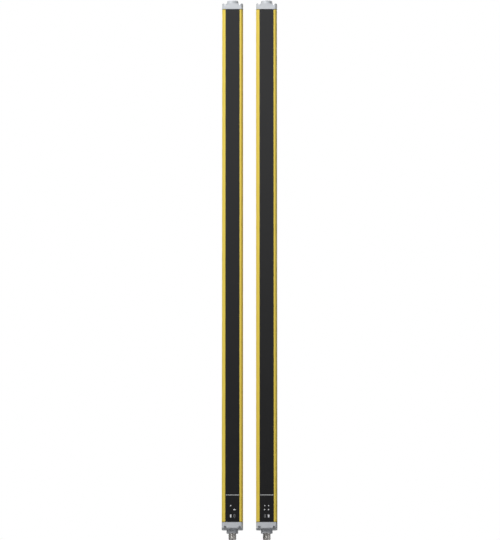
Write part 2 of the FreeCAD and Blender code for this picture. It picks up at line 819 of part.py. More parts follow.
def build_bar(name, side):
    """Every sub-part of one bar, as {node name: document object}."""
    x = side * s.bar_pitch / 2
    made = {}

    def node(part):
        return f"{name}_{part}"

    def bodies(part, body, z=0.0, rotation=None):
        made[node(part)] = placed(body, x, 0.0, z, rotation)

    turned_over = FreeCAD.Rotation(FreeCAD.Vector(0, 1, 0), 180)
    bodies("housing_profile", housing_profile(node("housing_profile")))
    made[node("front_window")] = front_window(node("front_window"), x)
    made[node("window_seal_left")] = window_seal(node("window_seal_left"), x, -1)
    made[node("window_seal_right")] = window_seal(node("window_seal_right"), x, 1)
    bodies("bottom_cap", end_cap(node("bottom_cap"), True), cap_level)
    bodies("top_cap", end_cap(node("top_cap"), False), upper_cap_level, turned_over)
    bodies("bottom_gasket", gasket(node("bottom_gasket")), cap_top)
    top_gasket_level = upper_cap_level - s.cap_height
    bodies("top_gasket", gasket(node("top_gasket")), top_gasket_level, turned_over)
    bodies("plug_sleeve", plug_sleeve(node("plug_sleeve")))
    bodies("plug_insert", plug_insert(node("plug_insert")))
    made[node("plug_contacts")] = plug_contacts(node("plug_contacts"), x)
    bodies("optics_carrier", optics_carrier(node("optics_carrier")))
    for index in range(MODULES):
        block = f"optic_block_{index + 1}"
        bodies(block, optic_block(node(block), index))
        strip = f"lens_strip_{index + 1}"
        bodies(strip, lens_strip(node(strip), index))
    made[node("diode_boards")] = diode_boards(node("diode_boards"), x)
    made[node("diodes")] = diodes(node("diodes"), x)
    made[node("control_board")] = control_board(node("control_board"), x)
    made[node("control_chips")] = control_chips(node("control_chips"), x)
    made[node("carrier_pads")] = carrier_pads(node("carrier_pads"), x)
    bodies("light_guide", light_guide(node("light_guide"), INDICATORS[name]))
    bodies("lead_ribbon", lead_ribbon(node("lead_ribbon")))
    return made


nodes = {}
for bar_name, bar_side in BAR_SIDES:
    nodes.update(build_bar(bar_name, bar_side))
doc.recompute()

for thing in doc.Objects:
    if "Invalid" in thing.State or "Error" in thing.State:
        raise RuntimeError(f"{thing.Label} failed: {thing.State}")
os.makedirs("parts", exist_ok=True)
for name, thing in nodes.items():
    shape = thing.Shape
    if shape.isNull() or not shape.isValid() or not shape.Solids:
        raise RuntimeError(f"{name} has no valid solid")
    shape.exportStep(f"parts/{name}.step")
print(len(nodes), "sub-parts written")
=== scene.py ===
"""Safety light curtain: the looks of its emitter bar and its receiver bar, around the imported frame.

Laid out as a Blender add-on and run as a script. Lengths are in metres, in the frame's own axes:
X across the two bars, Y from the windows to the rear slots, Z up.
"""

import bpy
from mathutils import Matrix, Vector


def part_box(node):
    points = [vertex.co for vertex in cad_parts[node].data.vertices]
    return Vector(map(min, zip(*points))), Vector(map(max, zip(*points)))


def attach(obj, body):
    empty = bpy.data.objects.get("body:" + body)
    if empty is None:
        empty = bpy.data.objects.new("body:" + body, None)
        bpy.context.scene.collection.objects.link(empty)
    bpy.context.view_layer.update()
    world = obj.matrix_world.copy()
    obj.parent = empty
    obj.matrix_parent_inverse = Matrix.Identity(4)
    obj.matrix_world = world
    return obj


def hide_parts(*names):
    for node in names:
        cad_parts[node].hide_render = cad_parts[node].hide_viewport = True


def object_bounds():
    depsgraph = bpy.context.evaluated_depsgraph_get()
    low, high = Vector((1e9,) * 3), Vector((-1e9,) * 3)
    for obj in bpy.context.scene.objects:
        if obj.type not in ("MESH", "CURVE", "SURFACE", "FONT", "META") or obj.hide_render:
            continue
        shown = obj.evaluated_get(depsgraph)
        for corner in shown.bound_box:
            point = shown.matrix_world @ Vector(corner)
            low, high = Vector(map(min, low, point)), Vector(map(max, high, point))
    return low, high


bl_info = {
    "name": "Light Curtain Looks",
    "version": (1, 0, 0),
    "blender": (4, 5, 0),
    "location": "View3D > Sidebar > Light Curtain",
    "description": "Builds the surfaces, screws, plugs and printed fields of a safety light curtain",
    "category": "Add Mesh",
}

import math

import bmesh
import bpy
from bpy.props import FloatProperty, FloatVectorProperty, IntProperty, PointerProperty
from mathutils import Matrix, Vector

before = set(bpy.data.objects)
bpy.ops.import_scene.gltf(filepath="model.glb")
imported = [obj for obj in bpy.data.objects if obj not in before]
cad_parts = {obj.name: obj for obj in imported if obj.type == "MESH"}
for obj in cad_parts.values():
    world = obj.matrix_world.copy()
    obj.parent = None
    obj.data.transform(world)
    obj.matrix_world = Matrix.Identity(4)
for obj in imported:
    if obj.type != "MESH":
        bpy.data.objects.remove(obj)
cad_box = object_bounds()

MM = 0.001
BARS = ("emitter", "receiver")
BODY = "root"
SAME_POINT = 1e-6
SHARP = math.radians(30)  # an edge that bends more than this is rounded
STRAIGHT_ON = -0.9  # cosine between an edge and one that runs on from it
ROOM = 2.2  # an edge is rounded if those that meet it are this many times the rounding's width
LAMP_SIDES = 34  # twice an odd number, so that no corner is in the middle of a lamp's long side


# ---------- sizes and colours to change


def length(name, millimetres, description):
    default = millimetres * MM
    kind = {"min": 0.0, "precision": 5, "subtype": "DISTANCE", "unit": "LENGTH"}
    return FloatProperty(name=name, description=description, default=default, **kind)


def colour(name, default, description):
    kind = {"min": 0.0, "max": 1.0, "size": 3, "subtype": "COLOR"}
    return FloatVectorProperty(name=name, description=description, default=default, **kind)


def count(name, default, description):
    return IntProperty(name=name, description=description, default=default, min=3)


def level(name, default, description):
    return FloatProperty(name=name, description=description, default=default, min=0.0)


class SettingsGroup:
    """Marks the groups of settings, so that they can be registered in their order."""


class HousingSettings(SettingsGroup, bpy.types.PropertyGroup):
    edge: length("Edge", 0.3, "Rounding of the extrusion's edges under the powder coat")
    paint: colour("Paint", (0.74, 0.56, 0.065), "Powder coat of the housing")
    peel: length("Orange peel", 0.9, "Size of the fine waves in the powder coat")


class WindowSettings(SettingsGroup, bpy.types.PropertyGroup):
    edge: length("Edge", 0.3, "Rounding of the window's long edges")
    smoke: colour("Smoke", (0.012, 0.012, 0.0125), "Smoked acrylic of the window")


class CapSettings(SettingsGroup, bpy.types.PropertyGroup):
    edge: length("Edge", 0.35, "Rounding of the casting's edges")
    paint: colour("Paint", (0.53, 0.55, 0.58), "Satin paint of the end caps")
    boss_height: length("Boss height", 6.5, "How far the boss stands out of the cap's outer face")


class ScrewSettings(SettingsGroup, bpy.types.PropertyGroup):
    across: length("Across", 11.3, "Screws, from a bar's middle to either side")
    inset: length("Inset", 4.6, "Screws, from the front and from the back")
    sunk: length("Sunk", 3.0, "From the cap's outer face to the seat of the head")
    head_radius: length("Head radius", 2.75, "Screw head")
    head_height: length("Head height", 2.0, "Screw head")
    recess_radius: length("Recess radius", 1.3, "Six-lobed recess in the head")
    recess_depth: length("Recess depth", 1.2, "Six-lobed recess in the head")
    shank_radius: length("Shank radius", 1.45, "Screw shank")
    shank_length: length("Shank length", 16.0, "Screw shank")


class PlugSettings(SettingsGroup, bpy.types.PropertyGroup):
    pitch: length("Thread pitch", 1.0, "From one crest of the thread to the next")
    thread_depth: length("Thread depth", 0.61, "From the thread's crest to its root")
    thread_end: length("Thread end", 9.0, "From the plug's tip to where the thread runs out")
    lead_in: length("Lead-in", 0.7, "Plain tip in front of the thread")
    neck: length("Neck", 5.45, "Radius of the sleeve inside the cap")
    segments: count("Segments", 72, "Faces round the plug")
    rows: count("Rows", 150, "Points along the thread")
    contact_circle: length("Contact circle", 2.75, "From the plug's axis to the outer contacts")
    contact_radius: length("Contact radius", 0.5, "Contact pins")
    key_width: length("Key width", 1.5, "Coding key of the contact carrier")
    key_depth: length("Key depth", 0.75, "Coding key of the contact carrier")
    key_start: length("Key start", 1.2, "From the plug's tip to the coding key")
    plate: colour("Plate", (0.45, 0.44, 0.425), "Nickel plate of the plug")


class FieldSettings(SettingsGroup, bpy.types.PropertyGroup):
    height: length("Height", 41.0, "From the window's lower end to the printed line")
    line: length("Line", 0.9, "Width of the printed line")
    ink: length("Ink", 0.03, "Thickness of the ink")
    stroke: length("Stroke", 0.35, "Outline of the open marks")
    mark_width: length("Mark width", 2.3, "Filled and open marks")
    mark_height: length("Mark height", 4.5, "Filled and open marks")
    pale: colour("Pale ink", (0.70, 0.71, 0.72), "Filled marks")
    rule: colour("Line ink", (0.52, 0.53, 0.53), "Printed line")
    dim: colour("Dim ink", (0.34, 0.345, 0.35), "Outlines of the open marks")


class LensSettings(SettingsGroup, bpy.types.PropertyGroup):
    first: length("First beam", 14.7, "From a lens strip's lower end to the first beam")
    pitch: length("Beam pitch", 30.0, "From one beam to the next")
    half_field: length("Half field", 7.5, "Radius of the stepped rings on a lens")


class StageSettings(SettingsGroup, bpy.types.PropertyGroup):
    lens: level("Lens", 369.0, "Focal length of the camera, in millimetres")
    floor_drop: length("Floor drop", 1330.0, "From the plugs down to the floor")
    key: level("Key light", 53.0, "Power of the large soft light at the front left, in watts")
    rear: level("Rear lights", 26.0, "Power of each soft light behind the bars, in watts")
    ambient: level("Ambient", 0.09, "Light from all round")
    sheen: level("Sheen", 0.8, "Extra brightness of what is mirrored from high up")


class LightCurtainSettings(SettingsGroup, bpy.types.PropertyGroup):
    housing: PointerProperty(type=HousingSettings)
    window: PointerProperty(type=WindowSettings)
    cap: PointerProperty(type=CapSettings)
    screw: PointerProperty(type=ScrewSettings)
    plug: PointerProperty(type=PlugSettings)
    field: PointerProperty(type=FieldSettings)
    lens: PointerProperty(type=LensSettings)
    stage: PointerProperty(type=StageSettings)


# ---------- node trees


def node(tree, kind, inputs=None, **settings):
    """Adds a node. An input is a plain value, or another node's output to link from."""
    new = tree.nodes.new(kind)
    for name, value in settings.items():
        setattr(new, name, value)
    for name, value in (inputs or {}).items():
        if isinstance(value, bpy.types.NodeSocket):
            tree.links.new(value, new.inputs[name])
        else:
            new.inputs[name].default_value = value
    return new


def made(tree, kind, inputs=None, **settings):
    """Adds a node that has one output, or whose first is the one to use, and gives that output."""
    return node(tree, kind, inputs, **settings).outputs[0]


def reckon(tree, operation, *values, clamp=False):
    """The output of one Math node."""
    inputs = dict(enumerate(values))
    return made(tree, "ShaderNodeMath", inputs, operation=operation, use_clamp=clamp)


def ramp(tree, value, start, end, low=0.0, high=1.0):
    """value from start to end, as a smooth step from low to high."""
    limits = {"Value": value, "From Min": start, "From Max": end, "To Min": low, "To Max": high}
    return made(tree, "ShaderNodeMapRange", limits, interpolation_type="SMOOTHSTEP")


def object_place(tree):
    """Where a point lies, in its piece's own coordinates."""
    return node(tree, "ShaderNodeTexCoord").outputs["Object"]


def parts_of(tree, vector):
    """The X, Y and Z of a vector."""
    return node(tree, "ShaderNodeSeparateXYZ", {"Vector": vector}).outputs


def vector_of(tree, **parts):
    """A vector from its X, Y and Z."""
    return made(tree, "ShaderNodeCombineXYZ", parts)


def stretched(tree, vector, factors):
    """A vector with each of its parts multiplied."""
    return made(tree, "ShaderNodeVectorMath", {0: vector, 1: factors}, operation="MULTIPLY")


def blended(tree, factor, first, second, kind="RGBA"):
    """Two colours (RGBA) or two plain values (FLOAT) mixed by factor."""
    first_input, output = {"FLOAT": (2, 0), "RGBA": (6, 2)}[kind]
    values = {0: factor, first_input: first, first_input + 1: second}
    return node(tree, "ShaderNodeMix", values, data_type=kind).outputs[output]


def new_group(name, kind, inputs, outputs):
    """An empty node group, with its inputs and where to link its outputs. Each socket has its
    type and, for an input, its default if it has one."""
    tree = bpy.data.node_groups.new(name, kind)
    for side, sockets in (("INPUT", inputs), ("OUTPUT", outputs)):
        for socket_name, (socket_type, *default) in sockets.items():
            kind_of_socket = "NodeSocket" + socket_type
            socket = tree.interface.new_socket(socket_name, in_out=side, socket_type=kind_of_socket)
            if default:
                socket.default_value = default[0]
    given, result = tree.nodes.new("NodeGroupInput"), tree.nodes.new("NodeGroupOutput")
    return tree, given.outputs, result.inputs


def built_once(make):
    """Makes a function keep what it has built, for each set of arguments."""
    kept = {}

    def get(*arguments):
        key = tuple(tuple(a) if hasattr(a, "__len__") else a for a in arguments)
        if key not in kept:
            kept[key] = make(*arguments)
        return kept[key]

    return get


@built_once
def grain_group():
    """Fine relief with slow changes of colour and gloss, for paint, rubber, mouldings and metal."""
    inputs = {
        "Colour": ("Color", (0.5, 0.5, 0.5, 1.0)),
        "Colour Spread": ("Float", 0.05),
        "Roughness": ("Float", 0.5),
        "Roughness Spread": ("Float", 0.1),
        "Grain Size": ("Float", 1.0 * MM),
        "Patch Size": ("Float", 30.0 * MM),
    }
    outputs = {"Colour": ("Color",), "Roughness": ("Float",), "Height": ("Float",)}
    tree, given, result = new_group("grain", "ShaderNodeTree", inputs, outputs)
    place = object_place(tree)

    def noise(size, detail):
        scale = reckon(tree, "DIVIDE", 1.0, size)
        inputs = {"Vector": place, "Scale": scale, "Detail": detail, "Roughness": 0.55}
        return made(tree, "ShaderNodeTexNoise", inputs)

    def spread(amount, pattern):
        centred = reckon(tree, "SUBTRACT", pattern, 0.5)
        return reckon(tree, "MULTIPLY", centred, amount)

    patches = noise(given["Patch Size"], 4.0)
    shade = reckon(tree, "ADD", 1.0, spread(given["Colour Spread"], patches))
    values = {0: given["Colour"], "Scale": shade}
    tinted = made(tree, "ShaderNodeVectorMath", values, operation="SCALE")
    fine = noise(given["Grain Size"], 3.0)
    gloss_spread = spread(given["Roughness Spread"], reckon(tree, "MAXIMUM", patches, fine))
    gloss = reckon(tree, "ADD", given["Roughness"], gloss_spread)
    tree.links.new(tinted, result["Colour"])
    tree.links.new(gloss, result["Roughness"])
    tree.links.new(fine, result["Height"])
    return tree


@built_once
def drawn_lines_group():
    """Fine lines that run up the bar, as on extrusions, drawn sheet and film."""
    inputs = {"Line Width": ("Float", 0.4 * MM), "Line Length": ("Float", 300.0 * MM)}
    tree, given, result = new_group("drawn_lines", "ShaderNodeTree", inputs, {"Height": ("Float",)})
    across = reckon(tree, "DIVIDE", 1.0, given["Line Width"])
    along = reckon(tree, "DIVIDE", 1.0, given["Line Length"])
    place = stretched(tree, object_place(tree), vector_of(tree, X=across, Y=across, Z=along))
    lines = made(tree, "ShaderNodeTexNoise", {"Vector": place, "Scale": 1.0, "Detail": 2.0})
    tree.links.new(lines, result["Height"])
    return tree


def use_group(tree, group, values):
    return node(tree, "ShaderNodeGroup", values, node_tree=group).outputs


def opaque(rgb):
    return (*rgb, 1.0)


def new_material(name, **sockets):
    """A material with a Principled shader, whose plain values are set on its own sockets."""
    material = bpy.data.materials.new(name)
    material.use_nodes = True
    tree = material.node_tree
    tree.nodes.clear()
    values = {socket.replace("_", " "): value for socket, value in sockets.items()}
    shader = node(tree, "ShaderNodeBsdfPrincipled", values)
    node(tree, "ShaderNodeOutputMaterial", {"Surface": shader.outputs["BSDF"]})
    return material, tree, shader


def bumped(tree, shader, height, depth, under=None):
    """Gives a shader relief, over an earlier one's normal if that is given. depth in mm."""
    values = {"Height": height, "Distance": depth * MM}
    if under is not None:
        values["Normal"] = under
    normal = made(tree, "ShaderNodeBump", values)
    tree.links.new(normal, shader.inputs["Normal"])
    return normal


def grained(tree, shader, rgb, roughness, size, relief, patch, spread=0.06, gloss_spread=0.12):
    """Gives a shader the grain group's colour, gloss and relief. size, relief and patch in mm."""
    values = {
        "Colour": opaque(rgb),
        "Colour Spread": spread,
        "Roughness": roughness,
        "Roughness Spread": gloss_spread,
        "Grain Size": size * MM,
        "Patch Size": patch * MM,
    }
    grain = use_group(tree, grain_group(), values)
    tree.links.new(grain["Colour"], shader.inputs["Base Color"])
    tree.links.new(grain["Roughness"], shader.inputs["Roughness"])
    return grain["Colour"], bumped(tree, shader, grain["Height"], relief)


def lined(tree, shader, under, width, depth):
    """Adds drawn lines over an earlier relief. width and depth in mm."""
    lines = use_group(tree, drawn_lines_group(), {"Line Width": width * MM})
    bumped(tree, shader, lines["Height"], depth, under)


def grained_material(name, rgb, grain, **sockets):
    """A material with one colour and the grain alone."""
    material, tree, shader = new_material(name, **sockets)
    grained(tree, shader, rgb, **grain)
    return material


# ---------- materials


@built_once
def yellow_powder_coat(paint, peel):
    """Semi-gloss powder coat: orange peel over faint die lines of the extrusion."""
    material, tree, shader = new_material("yellow_powder_coat", IOR=1.5)
    grain = dict(roughness=0.42, size=peel / MM, relief=0.02, spread=0.05, patch=60.0)
    _, normal = grained(tree, shader, paint, **grain)
    lined(tree, shader, normal, width=0.5, depth=0.006)
    return material


@built_once
def smoked_acrylic(smoke):
    """Polished dark sheet: nearly black, with the slight waves of a drawn sheet."""
    material, tree, shader = new_material("smoked_acrylic", IOR=1.49)
    grain = dict(roughness=0.10, size=25.0, relief=0.004, spread=0.15, gloss_spread=0.06, patch=80.0)
    _, normal = grained(tree, shader, smoke, **grain)
    lined(tree, shader, normal, width=6.0, depth=0.002)
    return material


@built_once
def satin_casting_paint(paint):
    """Satin grey paint on a die casting, with the casting's fine grain under it."""
    grain = dict(roughness=0.46, size=0.5, relief=0.03, spread=0.05, patch=8.0)
    return grained_material("satin_casting_paint", paint, grain, IOR=1.5)


@built_once
def black_rubber():
    grain = dict(roughness=0.72, size=0.25, relief=0.03, spread=0.3, patch=4.0)
    return grained_material("black_rubber", (0.018, 0.018, 0.019), grain, IOR=1.45)


@built_once
def foam_tape():
    """Foam tape: dark and dull, with its cells as fine relief, and painted shade that darkens the pit
    of each cell.
    """
    material, tree, shader = new_material("foam_tape", IOR=1.4)
    cell = 0.22 * MM
    values = {"Vector": object_place(tree), "Scale": 1.0 / cell}
    depth = made(tree, "ShaderNodeTexVoronoi", values)
    # Painted shade: the colour is darker towards each cell's pit, where the relief is lowest.
    shade = ramp(tree, depth, 0.0, 0.6, low=0.010, high=0.028)
    tint = made(tree, "ShaderNodeCombineColor", {"Red": shade, "Green": shade, "Blue": shade})
    roughness = ramp(tree, depth, 0.0, 0.6, low=0.9, high=0.7)
    tree.links.new(tint, shader.inputs["Base Color"])
    tree.links.new(roughness, shader.inputs["Roughness"])
    bumped(tree, shader, depth, 0.05)
    return material


@built_once
def zinc_plated_steel():
    grain = dict(roughness=0.34, size=0.15, relief=0.006, spread=0.25, patch=1.2)
    return grained_material("zinc_plated_steel", (0.46, 0.47, 0.49), grain, Metallic=1.0)


@built_once
def nickel_plate(plate):
    """Bright nickel plate with slight changes of gloss."""
    grain = dict(roughness=0.24, size=0.2, relief=0.001, spread=0.10, patch=3.0)
    return grained_material("nickel_plate", plate, grain, Metallic=1.0)


@built_once
def gold_flash():
    grain = dict(roughness=0.22, size=0.1, relief=0.002, spread=0.12, patch=1.0)
    return grained_material("gold_flash", (0.80, 0.55, 0.20), grain, Metallic=1.0)


@built_once
def black_moulding():
    """Eroded mould texture on a glass-filled black plastic."""
    grain = dict(roughness=0.55, size=0.3, relief=0.03, spread=0.2, patch=12.0)
    return grained_material("black_moulding", (0.022, 0.022, 0.024), grain, IOR=1.52)


@built_once
def matt_shaft_moulding():
    """Deep matt black, so that stray light dies in the light shafts."""
    grain = dict(roughness=0.85, size=0.45, relief=0.06, spread=0.25, patch=9.0)
    return grained_material("matt_shaft_moulding", (0.010, 0.010, 0.011), grain, IOR=1.45)


@built_once
def package_epoxy():
    grain = dict(roughness=0.30, size=0.12, relief=0.004, spread=0.2, patch=2.0)
    return grained_material("package_epoxy", (0.020, 0.017, 0.020), grain, IOR=1.56)


@built_once
def clear_guide():
    grain = dict(roughness=0.06, size=2.0, relief=0.003, spread=0.04, patch=5.0)
    sockets = {"IOR": 1.58, "Transmission_Weight": 0.9}
    return grained_material("clear_guide", (0.90, 0.92, 0.95), grain, **sockets)


@built_once
def stepped_lens(bar_offset, first_beam, pitch, half_field):
    """Red-tinted acrylic, with the rings of a flat stepped lens round each beam."""
    material, tree, shader = new_material("stepped_lens", IOR=1.49, Transmission_Weight=0.85)
    grain = dict(roughness=0.08, size=3.0, relief=0.002, spread=0.06, patch=15.0)
    grained(tree, shader, (0.62, 0.10, 0.08), **grain)
    parts = parts_of(tree, object_place(tree))
    turns = reckon(tree, "DIVIDE", reckon(tree, "SUBTRACT", parts["Z"], first_beam), pitch)
    nearest = reckon(tree, "ROUND", turns)
    up = reckon(tree, "MULTIPLY", reckon(tree, "SUBTRACT", turns, nearest), pitch)
    side = reckon(tree, "SUBTRACT", reckon(tree, "ABSOLUTE", parts["X"]), bar_offset)
    squares = reckon(tree, "ADD", reckon(tree, "POWER", up, 2.0), reckon(tree, "POWER", side, 2.0))
    distance = reckon(tree, "SQRT", squares)
    step, fade = 0.6 * MM, 0.2 * MM
    rings = reckon(tree, "FRACT", reckon(tree, "DIVIDE", distance, step))
    inside = ramp(tree, distance, half_field, half_field - fade)
    bumped(tree, shader, reckon(tree, "MULTIPLY", rings, inside), 0.15)
    return material


@built_once
def circuit_board():
    """Green solder mask over copper traces that show as a slightly lighter, raised pattern."""
    material, tree, shader = new_material("circuit_board", IOR=1.5)
    grain = dict(roughness=0.33, size=0.3, relief=0.004, patch=10.0)
    mask, _ = grained(tree, shader, (0.012, 0.105, 0.040), **grain)
    parts = parts_of(tree, object_place(tree))
    values = {
        "Vector": vector_of(tree, X=parts["Z"], Y=parts["X"]),
        "Scale": 1.0,
        "Mortar Size": 0.22 * MM,
        "Mortar Smooth": 0.1,
        "Brick Width": 7.5 * MM,
        "Row Height": 1.3 * MM,
    }
    traces = node(tree, "ShaderNodeTexBrick", values).outputs["Fac"]
    masked = blended(tree, traces, mask, opaque((0.045, 0.22, 0.075)))
    tree.links.new(masked, shader.inputs["Base Color"])
    bumped(tree, shader, traces, 0.035)
    return material


@built_once
def amber_film():
    """Amber film with copper conductors that show through as darker stripes."""
    material, tree, shader = new_material("amber_film", IOR=1.6)
    grain = dict(roughness=0.28, size=1.0, relief=0.004, patch=6.0)
    film, _ = grained(tree, shader, (0.42, 0.15, 0.02), **grain)
    across = parts_of(tree, object_place(tree))["X"]
    conductor_pitch = 1.28 * MM
    wave = reckon(tree, "SINE", reckon(tree, "MULTIPLY", across, math.tau / conductor_pitch))
    striped = blended(tree, ramp(tree, wave, -0.2, 0.2), film, opaque((0.20, 0.07, 0.015)))
    tree.links.new(striped, shader.inputs["Base Color"])
    return material


@built_once
def screen_ink(name, rgb):
    """Screen-printed ink, with its slightly uneven film."""
    grain = dict(roughness=0.5, size=0.2, relief=0.004, spread=0.12, patch=1.5)
    return grained_material(name, rgb, grain, IOR=1.48)


# ---------- meshes


def new_piece(name, mesh, *materials):
    piece = bpy.data.objects.new(name, mesh)
    bpy.context.scene.collection.objects.link(piece)
    for material in materials:
        mesh.materials.append(material)
    return piece


def mesh_of(name, bm):
    mesh = bpy.data.meshes.new(name)
    bm.to_mesh(mesh)
    bm.free()
    return mesh


def baked(piece):
    """Applies a piece's modifiers to its mesh."""
    evaluated = piece.evaluated_get(bpy.context.evaluated_depsgraph_get())
    plain = bpy.data.meshes.new_from_object(evaluated)
    plain.name = piece.name
    for index in reversed(range(len(plain.materials))):
        if plain.materials[index] is None:
            plain.materials.pop(index=index)
    piece.modifiers.clear()
    piece.data = plain
    return piece


def settled(piece, slot, *nodes):
    """Puts a finished piece on the bar's body and hides what it stands for; slot is not used."""
    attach(piece, BODY)
    if nodes:
        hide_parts(*nodes)


def has_room(edge, width):
    """Whether the edges that meet this one are long enough for a rounding of this width."""
    for vertex in edge.verts:
        along = (edge.other_vert(vertex).co - vertex.co).normalized()
        for other in vertex.link_edges:
            away = other.other_vert(vertex).co - vertex.co
            runs_on = away.normalized().dot(along) < STRAIGHT_ON
            if other is not edge and not runs_on and away.length < ROOM * width:
                return False
    return True


def mark_edges(mesh, width):
    """Marks the edges to round. Those without room for it stay sharp, so roundings never cross."""
    bm = bmesh.new()
    bm.from_mesh(mesh)
    weight = bm.edges.layers.float.new("bevel_weight_edge")
    for edge in bm.edges:
        if edge.calc_face_angle(0.0) > SHARP:
            if has_room(edge, width):
                edge[weight] = 1.0
            else:
                edge.smooth = False
    bm.to_mesh(mesh)
    bm.free()


def eased(piece, edge, segments=3):
    """Rounds a piece's edges and keeps its flat faces flat."""
    piece.data.shade_smooth()
    mark_edges(piece.data, edge)
    bevel = piece.modifiers.new("edges", "BEVEL")
    bevel.width = edge
    bevel.segments = segments
    bevel.limit_method = "WEIGHT"
    bevel.use_clamp_overlap = False
    bevel.loop_slide = False
    shading = piece.modifiers.new("shading", "WEIGHTED_NORMAL")
    shading.keep_sharp = True
    return baked(piece)


def merged_copy(name, node_name, material):
    """A copy of a CAD node's mesh with whole faces in place of its loose triangles."""
    bm = bmesh.new()
    bm.from_mesh(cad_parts[node_name].data)
    bmesh.ops.remove_doubles(bm, verts=bm.verts, dist=SAME_POINT)
    bmesh.ops.dissolve_limit(bm, angle_limit=math.radians(0.5), verts=bm.verts, edges=bm.edges)
    return new_piece(name, mesh_of(name, bm), material)


def eased_double(name, node_name, material, edge, slot):
    """Stands in for a CAD node, with the same shape and rounded edges."""
    settled(eased(merged_copy(name, node_name, material), edge), slot, node_name)


def lathed(rings, segments, lobes=6):
    """A turned mesh about Z, closed where its outline starts and ends on the axis. A ring is
    (radius, height) or (radius, height, lobe depth)."""
    bm = bmesh.new()
    loops = []
    for radius, height, *lobe in rings:
        if radius == 0:
            loops.append([bm.verts.new((0.0, 0.0, height))])
            continue
        loop = []
        for i in range(segments):
            angle = 2 * math.pi * i / segments
            reach = radius * (1 + (lobe[0] if lobe else 0.0) * math.cos(lobes * angle))
            loop.append(bm.verts.new((reach * math.cos(angle), reach * math.sin(angle), height)))
        loops.append(loop)
    for lower, upper in zip(loops, loops[1:]):
        for i in range(segments):
            following = (i + 1) % segments
            corners = [lower[i % len(lower)], lower[following % len(lower)]]
            corners += [upper[following % len(upper)], upper[i % len(upper)]]
            bm.faces.new(dict.fromkeys(corners))
    return bm


def rounded(radius, height, bend, steps=4):
    """Rings that turn an outer corner of a lathed outline, from the side to the top."""
    rings = []
    for i in range(steps + 1):
        angle = math.pi / 2 * i / steps
        rings.append((radius - bend * (1 - math.cos(angle)), height - bend * (1 - math.sin(angle))))
    return rings


def crisp(mesh, degrees=35):
    """Shades a mesh smooth, apart from the edges that bend more than this."""
    mesh.shade_smooth()
    mesh.set_sharp_from_angle(angle=math.radians(degrees))
    return mesh


def outwards(mesh):
    """Turns the faces of a closed mesh to point outwards."""
    bm = bmesh.new()
    bm.from_mesh(mesh)
    bmesh.ops.recalc_face_normals(bm, faces=bm.faces)
    bm.to_mesh(mesh)
    bm.free()


def closed_piece(name, bm, material, slot, *nodes):
    """Makes a closed mesh a finished piece of its own."""
    mesh = crisp(mesh_of(name, bm))
    outwards(mesh)
    settled(new_piece(name, mesh, material), slot, *nodes)


def slab(bm, low, high):
    """Adds a thin box between two corners."""
    middle = (Vector(low) + Vector(high)) / 2
    size = Vector(high) - Vector(low)
    place = Matrix.Translation(middle) @ Matrix.Diagonal((*size, 1.0))
    bmesh.ops.create_cube(bm, size=1.0, matrix=place)


def open_slab(bm, low, high, stroke):
    """Adds a thin rectangular frame between two corners."""
    loops = []
    for inset, y in ((0.0, low.y), (0.0, high.y), (stroke, high.y), (stroke, low.y)):
        left, right = low.x + inset, high.x - inset
        lower, upper = low.z + inset, high.z - inset
        corners = ((left, lower), (right, lower), (right, upper), (left, upper))
        loops.append([bm.verts.new((x, y, z)) for x, z in corners])
    for first, second in zip(loops, loops[1:] + loops[:1]):
        for i in range(4):
            following = (i + 1) % 4
            bm.faces.new((first[i], first[following], second[following], second[i]))


# ---------- geometry nodes


def finish_tree(tree, geometry, given, result):
    """Ends a tree: real geometry with its material."""
    real = made(tree, "GeometryNodeRealizeInstances", {"Geometry": geometry})
    values = {"Geometry": real, "Material": given["Material"]}
    painted = made(tree, "GeometryNodeSetMaterial", values)
    tree.links.new(painted, result["Geometry"])


@built_once
def placed_copies_tree():
    """Copies of a model on the points of a mesh, each turned to face along its own direction."""
    inputs = {
        "Geometry": ("Geometry",),
        "Model": ("Object",),
        "Material": ("Material",),
        "Turn": ("Float", 0.0),
        "Seed": ("Int", 7),
    }
    outputs = {"Geometry": ("Geometry",)}
    tree, given, result = new_group("placed_copies", "GeometryNodeTree", inputs, outputs)
    model = node(tree, "GeometryNodeObjectInfo", {"Object": given["Model"]}).outputs["Geometry"]
    facing = node(tree, "GeometryNodeInputNamedAttribute", {"Name": "facing"}, data_type="FLOAT_VECTOR")
    values = {"Vector": facing.outputs["Attribute"]}
    aligned = made(tree, "FunctionNodeAlignRotationToVector", values, axis="Z")
    chance = node(tree, "FunctionNodeRandomValue", {"Seed": given["Seed"]}, data_type="FLOAT")
    about = vector_of(tree, Z=reckon(tree, "MULTIPLY", chance.outputs[1], given["Turn"]))
    own_turn = made(tree, "FunctionNodeEulerToRotation", {"Euler": about})
    values = {"Rotation": aligned, "Rotate By": own_turn}
    turned = made(tree, "FunctionNodeRotateRotation", values, rotation_space="LOCAL")
    values = {"Points": given["Geometry"], "Instance": model, "Rotation": turned}
    placed = made(tree, "GeometryNodeInstanceOnPoints", values)
    finish_tree(tree, placed, given, result)
    return tree


def grown(piece, tree, values):
    """Runs a geometry tree on a piece and keeps the result as its plain mesh."""
    modifier = piece.modifiers.new(tree.name, "NODES")
    modifier.node_group = tree
    sockets = {item.name: item for item in tree.interface.items_tree if item.in_out == "INPUT"}
    for name, value in values.items():
        modifier[sockets[name].identifier] = value
    return baked(piece)


def placed_copies(name, model, places, material, turn=0.0):
    """One piece of like copies of a model mesh. places are (point, facing)."""
    pattern = bpy.data.objects.new(name + "_model", model)
    mesh = bpy.data.meshes.new(name)
    mesh.from_pydata([point for point, _ in places], [], [])
    facing = mesh.attributes.new("facing", "FLOAT_VECTOR", "POINT")
    for item, (_, direction) in zip(facing.data, places):
        item.vector = direction
    values = {"Model": pattern, "Material": material, "Turn": turn}
    piece = grown(new_piece(name, mesh), placed_copies_tree(), values)
    bpy.data.objects.remove(pattern)
    return piece


